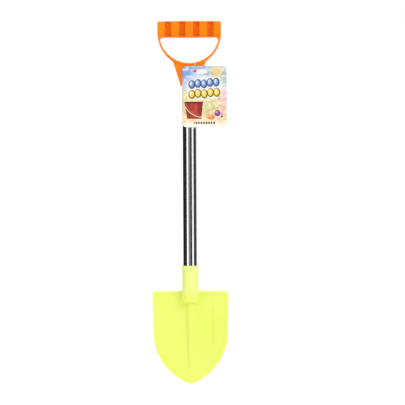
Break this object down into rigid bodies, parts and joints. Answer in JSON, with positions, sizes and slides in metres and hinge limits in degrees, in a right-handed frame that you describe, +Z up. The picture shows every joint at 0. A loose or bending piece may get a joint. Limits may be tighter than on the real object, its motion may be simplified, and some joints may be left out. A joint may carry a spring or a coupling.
{
  "type": "child's beach spade",
  "caption": "Child's long-handled beach spade with a D grip, plated tube shaft, dished shield-shaped blade and a hinged hang card.",
  "frame": {"origin": "middle of the hand grip, the bar at the top of the D that the hand closes on", "axes": "+X to the right seen from the front, along the grip; -Y towards the front, the side the blade is hollow on; +Z up along the shaft"},
  "size_m": [0.1262, 0.0355, 0.6014],
  "materials": {
    "orange_plastic": "satin moulded orange plastic",
    "lime_plastic": "satin moulded lime yellow plastic",
    "plated_steel": "bright plated steel tube",
    "screw_steel": "zinc plated",
    "clear_nylon": "milky clear nylon",
    "printed_card": "coated printed card"
  },
  "bodies": {
    "spade": {"handle": "orange_plastic", "shaft_tube": "plated_steel", "blade": "lime_plastic", "handle_screw": "screw_steel", "blade_screw": "screw_steel", "tag_loop": "clear_nylon"},
    "card": {"tag_card": "printed_card"}
  },
  "joints": [
    {"name": "card_flip", "type": "hinge", "parent": "spade", "child": "card", "pos_m": [0.0092, -0.0168, -0.0693], "axis": [-1, 0, 0], "range_deg": [0, 80]}
  ]
}
